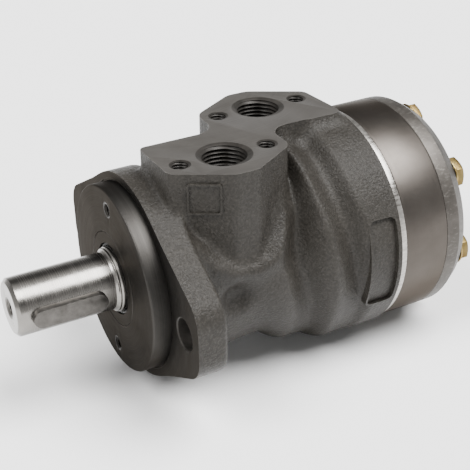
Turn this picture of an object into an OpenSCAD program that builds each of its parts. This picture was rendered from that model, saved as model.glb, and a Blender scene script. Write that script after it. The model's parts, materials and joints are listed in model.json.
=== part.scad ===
// Orbital hydraulic motor with a two-hole oval flange, two top ports and a keyed output shaft.
// The origin is the centre of the mounting face on the shaft axis. +X runs out along the
// shaft, and +Z points out of the ports. A geroler set of one ring, seven rollers and one
// six-lobed rotor drives the shaft through a tilted cardan shaft.

/* [Output shaft] */
// Diameter of the shaft end
shaft_d = 25; // [24.8:0.1:25.2]
// Reach of the shaft end beyond the mounting face
shaft_reach = 53.5; // [51:0.5:60]
// Width of the parallel key
key_w = 8; // [7:0.5:9]
// Height of the parallel key
key_h = 7; // [6.5:0.5:7.5]
// Length of the parallel key
key_len = 32; // [24:1:34]

/* [Flange] */
// Diameter of the centring pilot
pilot_d = 82.5; // [80:0.5:84]
// Height of the pilot above the mounting face
pilot_h = 8; // [7.5:0.5:9]
// Thickness of the flange
flange_t = 13; // [11:0.5:15]
// Distance between the two flange bolt holes
flange_pitch = 106.4; // [105:0.2:108]
// Diameter of the flange bolt holes
flange_hole_d = 13.5; // [11:0.5:14]
// Overall width of the flange
flange_w = 131; // [130:0.5:132]
// Radius of the flange around the shaft, which its flanks run tangent to
flange_r = 44.8; // [44:0.1:46]

/* [Ports] */
// Height of the port face above the shaft axis
port_face_z = 54.8; // [54:0.2:56]
// Distance of port A from the mounting face
port_a_x = 37.6; // [37:0.2:38]
// Distance of port B from the mounting face
port_b_x = 74.2; // [73:0.2:75]
// Sideways offset of each port from the shaft axis
port_y = 18.4; // [18:0.2:19]
// Major diameter of the port threads
port_d = 20.95; // [19:0.05:21]
// Depth of the port threads
port_depth = 15; // [13:1:16]
// Distance between the two tapped holes beside each port
port_bolt_pitch = 40; // [39:0.5:41]

/* [Geroler set] */
// Width of the geroler set
geroler_w = 22; // [18:1:30]
// Pitch radius of the seven rollers
roller_pitch_r = 34; // [33.8:0.1:34.2]
// Radius of each roller
roller_r = 7; // [6.9:0.05:7.05]
// Distance between the rotor's centre and the shaft axis
ecc = 2.5; // [2.3:0.1:2.6]

/* [Rear end] */
// Distance of the housing's rear face from the mounting face
housing_len = 106; // [105.5:0.5:108]
// Outer diameter of the plate, the ring and the cover
drum_d = 101; // [100.5:0.5:102]
// Thickness of the channel plate
plate_t = 3.2; // [3:0.1:4]
// Thickness of the end cover
cover_t = 12; // [11:0.5:14]
// Radius of the circle that the cover screws stand on
screw_pitch_r = 40; // [39.5:0.5:42]

/* [Hidden] */
$fn = 96;
eps = 0.5;

// Faces along the shaft axis, from the housing's rear face backwards
rear_x = -housing_len;
plate_x = rear_x - plate_t;
ring_x = plate_x - geroler_w;
cover_x = ring_x - cover_t;
drum_r = drum_d / 2;

// Spool and bearing stack
run_gap = 0.02;
spool_r = 17.5;
spool_front_x = -15;
spool_rear_x = -100;
journal_r = 14.25;
journal_x = 9.4;
seal_bore_r = 20.9;
seal_bore_x = -15.5;
race_t = 2;
needle_r = 1.5;
needle_pitch_r = 17.6;
needle_len = 4.4;
needle_count = 20;
carrier_rear_x = spool_front_x + 2 * race_t + 2 * needle_r;

// Seals
dust_seat_r = 15.8;
seal_seat_r = 18.5;
lip_gap = 0.05;

// Spool grooves that feed the slots, and the ring of feed holes in the housing
groove_w = 11;
slot_floor_r = 15.6;
slot_w = 3;
slot_count = 12;
feed_x = -(port_a_x + port_b_x) / 2 - 2;
feed_half = 4;
feed_hole_r = 2.6;
feed_radial_r = 2.3;
feed_pitch_r = 22.5;

// Splines of the cardan shaft
spline_teeth = 12;
head_front_x = -62;
head_rear_x = plate_x - geroler_w / 2;
head_len = 12;
cardan_r = 8.5;
tilt = atan2(ecc, head_front_x - head_rear_x);

// Geroler
roller_count = 7;
roller_step = 360 / roller_count;
roller_angle = -90;
screw_angle = roller_angle + roller_step / 2;
ring_inner_r = 32.6;
side_gap = 0.02;
mesh_gap = 0.07;

// Cover screws
screw_r = 4;
screw_hole_r = 4.4;
screw_grip = 16;
head_af = 13;
head_h = 4.3;
washer_r = 7.8;
washer_t = 1;

// Face seals
o_ring_r = 48.4;
o_ring_w = 2;
o_ring_h = 1.2;

// Check valves: each ball lifts off a small hole that leads to one port's spool groove
ball_r = 3;
check_r = 3.3;
check_hole_r = 1.2;
check_radial_r = 0.9;
check_pitch_r = 25;
check_depth = 8.2;
check_step_a = 2;
check_step_b = -1;

// Drain hole on the -Y side, and its plug
drain_x = -84;
drain_r = 6.58;
drain_depth = 11.5;
drain_pad_y = 53;
drain_pad_r = 12;
drain_head_r = 9.5;
drain_head_h = 3.5;
drain_washer_t = 1.5;

// Small holes: tapped holes in the pilot face and beside the ports, and the shaft's tapped end
pilot_hole_z = 33;
pilot_hole_r = 2.5;
pilot_hole_depth = 12;
port_bolt_r = 4;
port_bolt_depth = 13;
end_hole_r = 4;
end_hole_depth = 18;

// Passage from each port down to the spool
passage_tilt = 22;
passage_len = 27;
passage_r = 5.2;
port_drill_r = 8.6;

// Radius inside the housing where the radial holes begin
bore_inside_r = 15;

// Local X, Y and Z become Y, Z and X
module face_x() rotate([90, 0, 90]) children();
// A solid turned about the shaft axis from a [radius, x] outline
module turned(outline) face_x() rotate_extrude() polygon(outline);
// A round bar between two x positions
module bar(x0, x1, r) translate([x0, 0, 0]) face_x() cylinder(h = x1 - x0, r = r);
// A plate between two x positions, from a [y, z] outline
module plate(x0, x1, outline) translate([x0, 0, 0]) face_x() linear_extrude(x1 - x0) polygon(outline);
// Children moved to a radius and an angle around the shaft axis, measured from +Y towards +Z
module around(r, angle) rotate([angle, 0, 0]) translate([0, r, 0]) children();
module ring_of(count, r, start) for (k = [0:count - 1]) around(r, start + k * 360 / count) children();
// A flat ring between two x positions
module washer(x0, x1, r_in, r_out) difference() {
    bar(x0, x1, r_out);
    bar(x0 - eps, x1 + eps, r_in);
}

// Corner i of a closed outline, rounded to the radius in its third value
function corner(p, i) = let (
    n = len(p),
    c = [p[i][0], p[i][1]],
    a = [p[(i + n - 1) % n][0], p[(i + n - 1) % n][1]] - c,
    b = [p[(i + 1) % n][0], p[(i + 1) % n][1]] - c,
    ua = a / norm(a),
    ub = b / norm(b),
    half = acos(ua * ub) / 2,
    run = p[i][2] / tan(half),
    mid = (ua + ub) / norm(ua + ub),
    o = c + mid * p[i][2] / sin(half),
    start = c + ua * run - o,
    end = c + ub * run - o,
    a0 = atan2(start[1], start[0]),
    turn = atan2(end[1], end[0]) - a0,
    sweep = turn > 180 ? turn - 360 : turn < -180 ? turn + 360 : turn,
    steps = 10
) [for (s = [0:steps]) o + p[i][2] * [cos(a0 + sweep * s / steps), sin(a0 + sweep * s / steps)]];
function rounded(p) = [for (i = [0:len(p) - 1]) each corner(p, i)];

// Flange outline in [y, z]: two wide lobes joined by straight flanks
lobe_y = flange_w / 2;
flank_slope = 30;
apex_z = flange_r / cos(flank_slope);
lobe_z = apex_z - lobe_y * tan(flank_slope);
lobe_r = 14;
flange_outline = rounded([
    [lobe_y, lobe_z, lobe_r], [0, apex_z, flange_r], [-lobe_y, lobe_z, lobe_r],
    [-lobe_y, -lobe_z, lobe_r], [0, -apex_z, flange_r], [lobe_y, -lobe_z, lobe_r],
]);

// Port face outline in [x, y]: two staggered lobes
lobe_half = 28;
lobe_tip = 38;
lobe_shoulder = 24;
lobe_step = 4.8;
port_outline = rounded([
    [-port_a_x + lobe_half, -lobe_step, 3], [-port_a_x + lobe_half, lobe_shoulder, 5],
    [-port_a_x + 5, lobe_tip, 8], [-port_a_x - 5, lobe_tip, 8],
    [-port_a_x - lobe_half, lobe_shoulder, 6], [-port_a_x - lobe_half, lobe_step, 7],
    [-port_b_x - lobe_half, lobe_step, 3], [-port_b_x - lobe_half, -lobe_shoulder, 5],
    [-port_b_x - 5, -lobe_tip, 8], [-port_b_x + 5, -lobe_tip, 8],
    [-port_b_x + lobe_half, -lobe_shoulder, 6], [-port_b_x + lobe_half, -lobe_step, 7],
]);

// Cast body outline in [radius, x], from the flange back to the rear face
body_outline = [
    [0, -2], [44, -2], [44, -flange_t], [40.3, -22], [40.3, -52], [45, -58.5], [46.4, -63],
    [46.8, -72], [50.4, -77.5], [51.5, -82], [51.5, rear_x + 1.5], [50.7, rear_x], [0, rear_x],
];

// Pilot outline in [radius, x], with a chamfered front edge
pilot_chamfer = 1;
pilot_outline = [
    [0, -1], [pilot_d / 2, -1], [pilot_d / 2, pilot_h - pilot_chamfer],
    [pilot_d / 2 - pilot_chamfer, pilot_h], [0, pilot_h],
];
undercut = 0.45;
// Height where the port block's walls start, inside the cast body
block_z = 12;

// Outline of a splined bar or hole, as [y, z]
function spline(r_low, r_high, half_low, half_high) = [
    for (k = [0:spline_teeth - 1]) let (a = k * 360 / spline_teeth) each [
        r_low * [cos(a - half_low), sin(a - half_low)],
        r_high * [cos(a - half_high), sin(a - half_high)],
        r_high * [cos(a + half_high), sin(a + half_high)],
        r_low * [cos(a + half_low), sin(a + half_low)],
    ]
];
spline_hole = spline(10.8, 12.5, 9.3, 6.6);
spline_bar = spline(10.2, 11.9, 7.3, 4.8);

// Rotor outline: the path of a roller's centre seen from the rotor, set in by the roller's radius
function rotor_point(u) = let (
    p = roller_pitch_r * [cos(u), sin(u)] - ecc * [cos(roller_count * u), sin(roller_count * u)],
    d = roller_pitch_r * [-sin(u), cos(u)]
        - roller_count * ecc * [-sin(roller_count * u), cos(roller_count * u)]
) p - (roller_r + mesh_gap) * [d[1], -d[0]] / norm(d);
rotor_outline = [for (u = [0:2:358]) rotor_point(u)];

module port_cut(x, side) translate([x, side * port_y, port_face_z]) {
    translate([0, 0, -port_depth]) cylinder(h = port_depth + eps, d = port_d);
    translate([0, 0, -1]) cylinder(h = 1 + eps, r1 = port_d / 2, r2 = port_d / 2 + 1.5);
    translate([0, 0, -port_depth - 2]) cylinder(h = 3, r = port_drill_r);
    translate([0, 0, -port_depth - 1]) rotate([-side * passage_tilt, 0, 0]) translate([0, 0, 1 - passage_len])
        cylinder(h = passage_len, r = passage_r);
    for (s = [-1, 1]) translate([s * port_bolt_pitch / 2, 0, -port_bolt_depth])
        cylinder(h = port_bolt_depth + eps, r = port_bolt_r);
}

// A hole from the spool bore out to radius r, at one x position
module radial_hole(x, r, hole_r) translate([x, bore_inside_r, 0]) rotate([-90, 0, 0])
    cylinder(h = r - bore_inside_r, r = hole_r);
// The chamber of one check ball, and its hole to the spool groove at port_x
module check_cut(step, port_x) rotate([roller_angle + step * roller_step, 0, 0]) {
    translate([0, check_pitch_r, 0]) {
        bar(rear_x - eps, rear_x + check_depth, check_r);
        bar(rear_x, port_x + check_hole_r + 0.4, check_hole_r);
    }
    radial_hole(port_x, check_pitch_r, check_radial_r);
}
// The drain hole's own frame: +Z runs from the pad's face into the housing
module at_drain() translate([drain_x, -drain_pad_y, 0]) rotate([-90, 0, 0]) children();
// Groove of a face seal between two x positions
module seal_groove(x0, x1) washer(x0, x1, o_ring_r - o_ring_w / 2, o_ring_r + o_ring_w / 2);

module housing() color("DimGray") difference() {
    union() {
        turned(pilot_outline);
        plate(-flange_t, 0, flange_outline);
        turned(body_outline);
        translate([0, 0, block_z]) linear_extrude(port_face_z - block_z) polygon(port_outline);
        at_drain() cylinder(h = drain_pad_r, r = drain_pad_r);
    }
    // Undercut around the pilot, flange bolt holes and the two tapped holes in the pilot face
    washer(-undercut, undercut, pilot_d / 2, pilot_d / 2 + 2 * undercut);
    for (s = [-1, 1]) {
        translate([0, s * flange_pitch / 2, 0]) bar(-2 * flange_t, eps, flange_hole_d / 2);
        translate([0, 0, s * pilot_hole_z]) bar(pilot_h - pilot_hole_depth, pilot_h + eps, pilot_hole_r);
    }
    // Seal and thrust bearing bore, then the spool bore
    bar(seal_bore_x, pilot_h + eps, seal_bore_r);
    bar(rear_x - eps, seal_bore_x + eps, spool_r + run_gap);
    port_cut(-port_a_x, 1);
    port_cut(-port_b_x, -1);
    // Feed holes from the spool to the geroler, tapped screw holes and check valves
    ring_of(roller_count, feed_pitch_r, screw_angle) bar(rear_x - eps, feed_x + feed_hole_r + 0.4, feed_hole_r);
    for (k = [0:roller_count - 1]) rotate([screw_angle + k * roller_step, 0, 0])
        radial_hole(feed_x, feed_pitch_r, feed_radial_r);
    ring_of(roller_count, screw_pitch_r, screw_angle)
        bar(rear_x - eps, rear_x + screw_grip + 2, screw_r + run_gap);
    check_cut(check_step_a, -port_a_x);
    check_cut(check_step_b, -port_b_x);
    seal_groove(rear_x - eps, rear_x + o_ring_h);
    // Drain
    at_drain() {
        translate([0, 0, -eps]) cylinder(h = drain_depth + eps, r = drain_r);
        cylinder(h = drain_pad_y - bore_inside_r, r = 2);
    }
}

module seal_carrier() color("Gray") difference() {
    bar(carrier_rear_x, pilot_h - 0.1, seal_bore_r - run_gap);
    bar(carrier_rear_x - eps, pilot_h, journal_r + 0.6);
    bar(2.4, pilot_h, dust_seat_r);
    bar(carrier_rear_x - eps, 0.4, seal_seat_r);
    washer(-5.5, -3, 19.2, seal_bore_r);
}
module carrier_o_ring() color("Black") washer(-5.4, -3.1, 19.25, seal_bore_r - run_gap);
module dust_seal() color("Black") turned([
    [journal_r + lip_gap, 6.2], [journal_r + 0.5, 2.6], [dust_seat_r - 0.02, 2.6],
    [dust_seat_r - 0.02, 6.9], [journal_r + 0.7, 6.9],
]);
module shaft_seal() color("Black") turned([
    [journal_r + lip_gap, -4], [journal_r + 0.8, -6.5], [seal_seat_r - 0.02, -6.5],
    [seal_seat_r - 0.02, 0.3], [journal_r + 0.8, 0.3], [journal_r + 0.8, -2.6],
]);

module front_thrust_race() color("Silver")
    washer(carrier_rear_x - race_t, carrier_rear_x, journal_r + 0.3, 20.4);
module rear_thrust_race() color("Silver")
    washer(spool_front_x, spool_front_x + race_t, journal_r + run_gap, 20.4);
bearing_x = spool_front_x + race_t + needle_r;
module thrust_cage() color("Silver") difference() {
    washer(bearing_x - 0.9, bearing_x + 0.9, journal_r + 0.3, 20.4);
    ring_of(needle_count, needle_pitch_r - needle_len / 2 - 0.1, 0) translate([bearing_x, 0, 0])
        rotate([-90, 0, 0]) cylinder(h = needle_len + 0.2, r = needle_r + 0.05, $fn = 24);
}
module thrust_needles() color("Gainsboro")
    ring_of(needle_count, needle_pitch_r - needle_len / 2, 0) translate([bearing_x, 0, 0])
        rotate([-90, 0, 0]) cylinder(h = needle_len, r = needle_r - 0.01, $fn = 24);

// A slot for the key, or the key itself, lying along the shaft with rounded ends
key_mid_x = 32;
key_floor = shaft_d / 2 - 4;
module key_body(w, len, y0, y1) translate([key_mid_x, y0, 0]) rotate([-90, 0, 0]) {
    translate([-(len - w) / 2, -w / 2, 0]) cube([len - w, w, y1 - y0]);
    for (s = [-1, 1]) translate([s * (len - w) / 2, 0, 0]) cylinder(h = y1 - y0, d = w, $fn = 48);
}

module output_shaft() color("LightGray") difference() {
    turned([
        [0, spool_rear_x], [spool_r - 0.5, spool_rear_x], [spool_r, spool_rear_x + 0.5],
        [spool_r, spool_front_x - 0.5], [spool_r - 0.5, spool_front_x], [journal_r, spool_front_x],
        [journal_r, journal_x], [shaft_d / 2, journal_x + 1.5], [shaft_d / 2, shaft_reach - 1.5],
        [shaft_d / 2 - 1.5, shaft_reach], [0, shaft_reach],
    ]);
    // Tapped end with a countersunk mouth, and the keyway
    bar(shaft_reach - end_hole_depth, shaft_reach + eps, end_hole_r);
    turned([
        [0, shaft_reach - 0.8], [end_hole_r, shaft_reach - 0.8],
        [end_hole_r + 0.8, shaft_reach], [0, shaft_reach],
    ]);
    key_body(key_w + 0.04, key_len + 0.04, key_floor, shaft_d);
    // Feed grooves and the slots that run from each of them past the feed holes
    for (x = [-port_a_x, -port_b_x]) washer(x - groove_w / 2, x + groove_w / 2, slot_floor_r, spool_r + 1);
    for (k = [0:slot_count - 1]) rotate([k * 360 / slot_count, 0, 0])
        if (k % 2 == 0) translate([feed_x - feed_half, -slot_w / 2, slot_floor_r])
            cube([-port_a_x - feed_x + feed_half, slot_w, 3]);
        else translate([-port_b_x, -slot_w / 2, slot_floor_r])
            cube([feed_x + feed_half + port_b_x, slot_w, 3]);
    // Cardan bore and its internal spline
    bar(spool_rear_x - eps, head_front_x - head_len / 2 - 2, 13.2);
    plate(head_front_x - head_len / 2 - 3, head_front_x + head_len / 2 + 2, spline_hole);
}

module parallel_key() color("Gray") key_body(key_w, key_len, key_floor, key_floor + key_h);

module cardan_shaft() color("SlateGray") translate([head_front_x, 0, 0]) rotate([0, -tilt, 0]) {
    reach = norm([head_front_x - head_rear_x, ecc]);
    bar(-reach, 0, cardan_r);
    for (x = [0, -reach]) intersection() {
        plate(x - head_len / 2, x + head_len / 2, spline_bar);
        turned([
            [0, x - head_len / 2], [10.9, x - head_len / 2], [12, x - 2], [12, x + 2],
            [10.9, x + head_len / 2], [0, x + head_len / 2],
        ]);
    }
}

spacer_x = ring_x + 0.4;
module cardan_spacer() color("SlateGray") translate([0, 0, -ecc])
    turned([[0, spacer_x], [8.5, spacer_x], [9, spacer_x + 0.5], [9, spacer_x + 3], [0, spacer_x + 3]]);

module rotor() color("LightSlateGray") translate([0, 0, -ecc]) difference() {
    rotate([roller_angle, 0, 0]) plate(ring_x + side_gap, plate_x - side_gap, rotor_outline);
    plate(ring_x - eps, plate_x + eps, spline_hole);
}

module roller(k) color("Silver") around(roller_pitch_r, roller_angle + (k - 1) * roller_step)
    bar(ring_x + side_gap, plate_x - side_gap, roller_r);

module channel_plate() color("Gainsboro") difference() {
    bar(plate_x, rear_x, drum_r);
    bar(plate_x - eps, rear_x + eps, 13.2);
    ring_of(roller_count, screw_pitch_r, screw_angle) bar(plate_x - eps, rear_x + eps, screw_hole_r);
    for (k = [0:roller_count - 1]) rotate([screw_angle + k * roller_step, 0, 0]) {
        for (r = [feed_pitch_r, 30]) translate([0, r, 0]) bar(plate_x - eps, rear_x + eps, feed_hole_r);
        translate([plate_x - eps, feed_pitch_r, -feed_hole_r])
            cube([plate_t + 2 * eps, 30 - feed_pitch_r, 2 * feed_hole_r]);
    }
}

module gear_ring() color("DimGray") difference() {
    bar(ring_x, plate_x, drum_r);
    bar(ring_x - eps, plate_x + eps, ring_inner_r);
    ring_of(roller_count, roller_pitch_r, roller_angle) bar(ring_x - eps, plate_x + eps, roller_r + 0.04);
    ring_of(roller_count, screw_pitch_r, screw_angle) bar(ring_x - eps, plate_x + eps, screw_hole_r);
    seal_groove(plate_x - o_ring_h, plate_x + eps);
    seal_groove(ring_x - eps, ring_x + o_ring_h);
}

module end_cover() color("DarkGray") difference() {
    turned([
        [0, cover_x], [drum_r - 3.6, cover_x], [drum_r - 3, cover_x + 0.6], [drum_r, cover_x + 5.5],
        [drum_r, ring_x], [0, ring_x],
    ]);
    ring_of(roller_count, screw_pitch_r, screw_angle) bar(cover_x - eps, ring_x + eps, screw_hole_r);
}

module face_o_ring(x0) color("Black")
    washer(x0, x0 + o_ring_h, o_ring_r - o_ring_w / 2 + 0.05, o_ring_r + o_ring_w / 2 - 0.05);
module housing_o_ring() face_o_ring(rear_x);
module ring_front_o_ring() face_o_ring(plate_x - o_ring_h);
module ring_rear_o_ring() face_o_ring(ring_x);

module cover_screws() color("GoldenRod") ring_of(roller_count, screw_pitch_r, screw_angle) {
    bar(cover_x - washer_t, rear_x + screw_grip, screw_r);
    translate([cover_x - washer_t - head_h, 0, 0]) face_x()
        cylinder(h = head_h, d = head_af / cos(30), $fn = 6);
}
module screw_washers() color("GoldenRod") ring_of(roller_count, screw_pitch_r, screw_angle)
    washer(cover_x - washer_t, cover_x, screw_hole_r, washer_r);

module check_ball(step) color("Silver") around(check_pitch_r, roller_angle + step * roller_step)
    translate([rear_x + check_depth - ball_r, 0, 0]) sphere(r = ball_r);

module drain_plug() color("GoldenRod") at_drain() difference() {
    union() {
        translate([0, 0, -drain_washer_t]) cylinder(h = drain_depth, r = drain_r - 0.03);
        translate([0, 0, -drain_washer_t - drain_head_h]) cylinder(h = drain_head_h, r = drain_head_r);
    }
    // Hexagon socket, 6 mm across its flats
    translate([0, 0, -drain_washer_t - drain_head_h - eps]) cylinder(h = 6, d = 6 / cos(30), $fn = 6);
}
module drain_washer() color("Peru") at_drain() difference() {
    translate([0, 0, -drain_washer_t]) cylinder(h = drain_washer_t, r = drain_head_r - 0.2);
    translate([0, 0, -drain_washer_t - eps]) cylinder(h = drain_washer_t + 2 * eps, r = drain_r);
}

housing();
seal_carrier();
carrier_o_ring();
dust_seal();
shaft_seal();
front_thrust_race();
rear_thrust_race();
thrust_cage();
thrust_needles();
output_shaft();
parallel_key();
cardan_shaft();
cardan_spacer();
rotor();
roller(1);  // roller_1
roller(2);  // roller_2
roller(3);  // roller_3
roller(4);  // roller_4
roller(5);  // roller_5
roller(6);  // roller_6
roller(7);  // roller_7
channel_plate();
gear_ring();
end_cover();
housing_o_ring();
ring_front_o_ring();
ring_rear_o_ring();
cover_screws();
screw_washers();
check_ball(check_step_a);  // check_ball_1
check_ball(check_step_b);  // check_ball_2
drain_plug();
drain_washer();
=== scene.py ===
"""Looks of an orbital hydraulic motor: a cast housing grown from a distance field and machined by
booleans, turned and threaded steel pieces, and node materials for casting skin, turned and ground
steel and yellow zinc. Lengths in the helper functions are millimetres, and mesh_object() turns
them into metres."""
import json
import math

import bmesh
import bpy
import numpy as np
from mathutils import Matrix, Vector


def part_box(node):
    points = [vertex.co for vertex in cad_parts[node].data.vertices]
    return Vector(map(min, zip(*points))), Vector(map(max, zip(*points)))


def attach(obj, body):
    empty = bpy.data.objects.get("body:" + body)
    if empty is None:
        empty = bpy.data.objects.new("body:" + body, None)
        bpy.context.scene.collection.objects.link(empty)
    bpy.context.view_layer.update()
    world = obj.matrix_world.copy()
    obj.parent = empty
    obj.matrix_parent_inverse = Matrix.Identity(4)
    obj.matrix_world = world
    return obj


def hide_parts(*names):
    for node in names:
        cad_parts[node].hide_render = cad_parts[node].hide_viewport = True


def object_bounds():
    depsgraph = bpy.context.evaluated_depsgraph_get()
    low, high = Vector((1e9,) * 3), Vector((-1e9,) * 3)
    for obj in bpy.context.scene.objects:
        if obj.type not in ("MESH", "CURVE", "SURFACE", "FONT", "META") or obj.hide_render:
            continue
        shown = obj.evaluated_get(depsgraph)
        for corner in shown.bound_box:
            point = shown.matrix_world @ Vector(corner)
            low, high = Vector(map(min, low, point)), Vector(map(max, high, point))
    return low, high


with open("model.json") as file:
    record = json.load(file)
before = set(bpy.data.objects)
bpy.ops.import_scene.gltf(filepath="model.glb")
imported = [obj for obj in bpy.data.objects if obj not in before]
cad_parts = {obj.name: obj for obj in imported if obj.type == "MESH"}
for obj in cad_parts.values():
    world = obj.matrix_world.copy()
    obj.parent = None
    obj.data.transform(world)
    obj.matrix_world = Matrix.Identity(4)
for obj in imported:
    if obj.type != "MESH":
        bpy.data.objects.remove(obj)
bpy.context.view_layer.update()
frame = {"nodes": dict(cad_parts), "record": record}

import openvdb
from mathutils import Matrix, Vector

MM = 0.001
RNG = np.random.default_rng(7)


# ---------------------------------------------------------------- places taken from the frame

def span(node, axis):
    """Lowest and highest coordinate of a CAD node along one axis, in millimetres."""
    low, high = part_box(node)
    return low[axis] / MM, high[axis] / MM


MOUNTS = {m["name"]: m for m in frame["record"]["mounts"]}


def mount_point(name):
    return [c / MM for c in MOUNTS[name]["pos_m"]]


def mount_size(name, key):
    return MOUNTS[name]["dims"][key]


HOUSING_REAR, PILOT_FRONT = span("housing", 0)
PORT_TOP = span("housing", 2)[1]
FLANGE_HALF = span("housing", 1)[1]
FLANGE_THICK = 13.0
FLANGE_R = 44.8
PILOT_R = mount_size("pilot", "r_mm")
BOLT_Y = mount_size("flange_bolts", "spacing_x_mm") / 2
BOLT_R = mount_size("flange_bolts", "hole_r_mm")
PORT_A = mount_point("port_a")
PORT_B = mount_point("port_b")
PORT_R = mount_size("port_a", "r_mm")
PORT_SCREW_X = mount_size("port_a_bolts", "spacing_x_mm") / 2
PILOT_HOLE_Z = mount_size("pilot_tapped_holes", "spacing_y_mm") / 2
CARRIER_R = span("seal_carrier", 1)[1]
SHAFT_END = span("output_shaft", 0)[1]
PLATE_REAR = span("channel_plate", 0)[0]
RING_REAR = span("gear_ring", 0)[0]
COVER_REAR = span("end_cover", 0)[0]
DRUM_R = span("gear_ring", 1)[1]
SCREW_REAR = span("cover_screws", 0)[0]
WASHER_REAR = span("screw_washers", 0)[0]
SCREW_CIRCLE = 40.0
SCREW_COUNT = 7
SCREW_STEP = 360 / SCREW_COUNT
SCREW_START = -90 + SCREW_STEP / 2
KEY_MID = sum(span("parallel_key", 0)) / 2
DRAIN_X = sum(span("drain_plug", 0)) / 2
DRAIN_FACE = span("drain_washer", 1)[1]
DRAIN_R = 6.58
DRAIN_PAD_R = 12.0
SPOOL_BORE_R = 17.52
CARDAN_BORE_R = 13.2
SCREW_HOLE_R = 4.05
FLOOR_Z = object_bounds()[0][2]


# ---------------------------------------------------------------- camera

CAMERA = {
    "azimuth": 151.864, "elevation": 29.0, "roll": -1.142,
    "distance": 0.45746, "lens": 79.289, "target": (-0.04923, 0.00441, 0.00733),
}


def make_camera():
    data = bpy.data.cameras.new("photo_camera")
    camera = bpy.data.objects.new("photo_camera", data)
    bpy.context.scene.collection.objects.link(camera)
    az, el = math.radians(CAMERA["azimuth"]), math.radians(CAMERA["elevation"])
    back = Vector((math.sin(az) * math.cos(el), -math.cos(az) * math.cos(el), math.sin(el)))
    right = Vector((math.cos(az), math.sin(az), 0))
    up = back.cross(right)
    turn = Matrix((right, up, back)).transposed() @ Matrix.Rotation(math.radians(CAMERA["roll"]), 3, "Z")
    place = Vector(CAMERA["target"]) + CAMERA["distance"] * back
    camera.matrix_world = Matrix.Translation(place) @ turn.to_4x4()
    data.sensor_width = 36
    data.lens = CAMERA["lens"]
    data.clip_start = 0.01
    data.dof.use_dof = False
    bpy.context.scene.camera = camera


make_camera()


# ---------------------------------------------------------------- mesh helpers

def mesh_object(name, points, faces, angle=35):
    """A linked object from millimetre points and faces, with edges sharper than the angle kept hard."""
    mesh = bpy.data.meshes.new(name)
    mesh.from_pydata((np.asarray(points, float) * MM).tolist(), [], [list(f) for f in faces])
    mesh.validate()
    obj = bpy.data.objects.new(name, mesh)
    bpy.context.scene.collection.objects.link(obj)
    shade(obj, angle)
    return obj


def shade(obj, angle=35):
    mesh = obj.data
    mesh.polygons.foreach_set("use_smooth", np.ones(len(mesh.polygons), bool))
    mesh.set_sharp_from_angle(angle=math.radians(angle))
    mesh.update()


def lathe_data(outline, segments):
    """Points and faces of a closed outline of (x, radius) turned about the shaft axis.
    A radius of 0 makes a pole."""
    points, rows = [], []
    for x, r in outline:
        if r < 1e-6:
            rows.append([len(points)] * segments)
            points.append((x, 0, 0))
        else:
            start = len(points)
            rows.append([start + i for i in range(segments)])
            turns = [2 * math.pi * i / segments for i in range(segments)]
            points += [(x, r * math.cos(t), r * math.sin(t)) for t in turns]
    faces = []
    count = len(rows)
    for k in range(count):
        a, b = rows[k], rows[(k + 1) % count]
        if a[0] == a[1] and b[0] == b[1]:
            continue
        for i in range(segments):
            j = (i + 1) % segments
            quad = [a[i], a[j], b[j], b[i]]
            faces.append([v for n, v in enumerate(quad) if v != quad[n - 1]])
    return points, faces


def soften(outline, radii, steps=4):
    """Rounds each corner of a closed outline by its radius; a radius of 0 keeps the corner."""
    out = []
    n = len(outline)
    for i, (corner, radius) in enumerate(zip(outline, radii)):
        c = np.array(corner, float)
        a = np.array(outline[i - 1], float) - c
        b = np.array(outline[(i + 1) % n], float) - c
        if radius <= 0:
            out.append(tuple(c))
            continue
        ua, ub = a / np.linalg.norm(a), b / np.linalg.norm(b)
        half = math.acos(max(-1, min(1, float(ua @ ub)))) / 2
        run = radius / math.tan(half)
        centre = c + (ua + ub) / np.linalg.norm(ua + ub) * radius / math.sin(half)
        start, end = c + ua * run - centre, c + ub * run - centre
        a0 = math.atan2(start[1], start[0])
        sweep = (math.atan2(end[1], end[0]) - a0 + math.pi) % (2 * math.pi) - math.pi
        for s in range(steps + 1):
            t = a0 + sweep * s / steps
            out.append(tuple(centre + radius * np.array([math.cos(t), math.sin(t)])))
    return out


def lathe(name, outline, radii=None, segments=160, angle=35):
    if radii is not None:
        outline = soften(outline, radii)
    points, faces = lathe_data(outline, segments)
    obj = mesh_object(name, points, faces, angle=angle)
    outward(obj)
    return obj


def outward(obj):
    """Turns every face of a closed mesh outward."""
    work = bmesh.new()
    work.from_mesh(obj.data)
    bmesh.ops.recalc_face_normals(work, faces=work.faces)
    if work.calc_volume(signed=True) < 0:
        bmesh.ops.reverse_faces(work, faces=work.faces)
    work.to_mesh(obj.data)
    work.free()


def prism(name, outline, low, high, axis):
    """A solid from a 2-D outline pushed from low to high along an axis (0, 1 or 2)."""
    n = len(outline)
    points = []
    for level in (low, high):
        for u, v in outline:
            point = [u, v]
            point.insert(axis, level)
            points.append(tuple(point))
    faces = [list(range(n - 1, -1, -1)), list(range(n, 2 * n))]
    faces += [[i, (i + 1) % n, n + (i + 1) % n, n + i] for i in range(n)]
    obj = mesh_object(name, points, faces)
    outward(obj)
    return obj


def circle(u, v, radius, count=96):
    return [
        (u + radius * math.cos(2 * math.pi * i / count), v + radius * math.sin(2 * math.pi * i / count))
        for i in range(count)
    ]


def rod(low, high, radius):
    """Outline of a plain cylinder on the shaft axis, to be turned by lathe()."""
    return [(low, 0), (low, radius), (high, radius), (high, 0)]


def box(name, low, high):
    return prism(name, [(low[1], low[2]), (high[1], low[2]), (high[1], high[2]), (low[1], high[2])],
                 low[0], high[0], 0)


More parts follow.
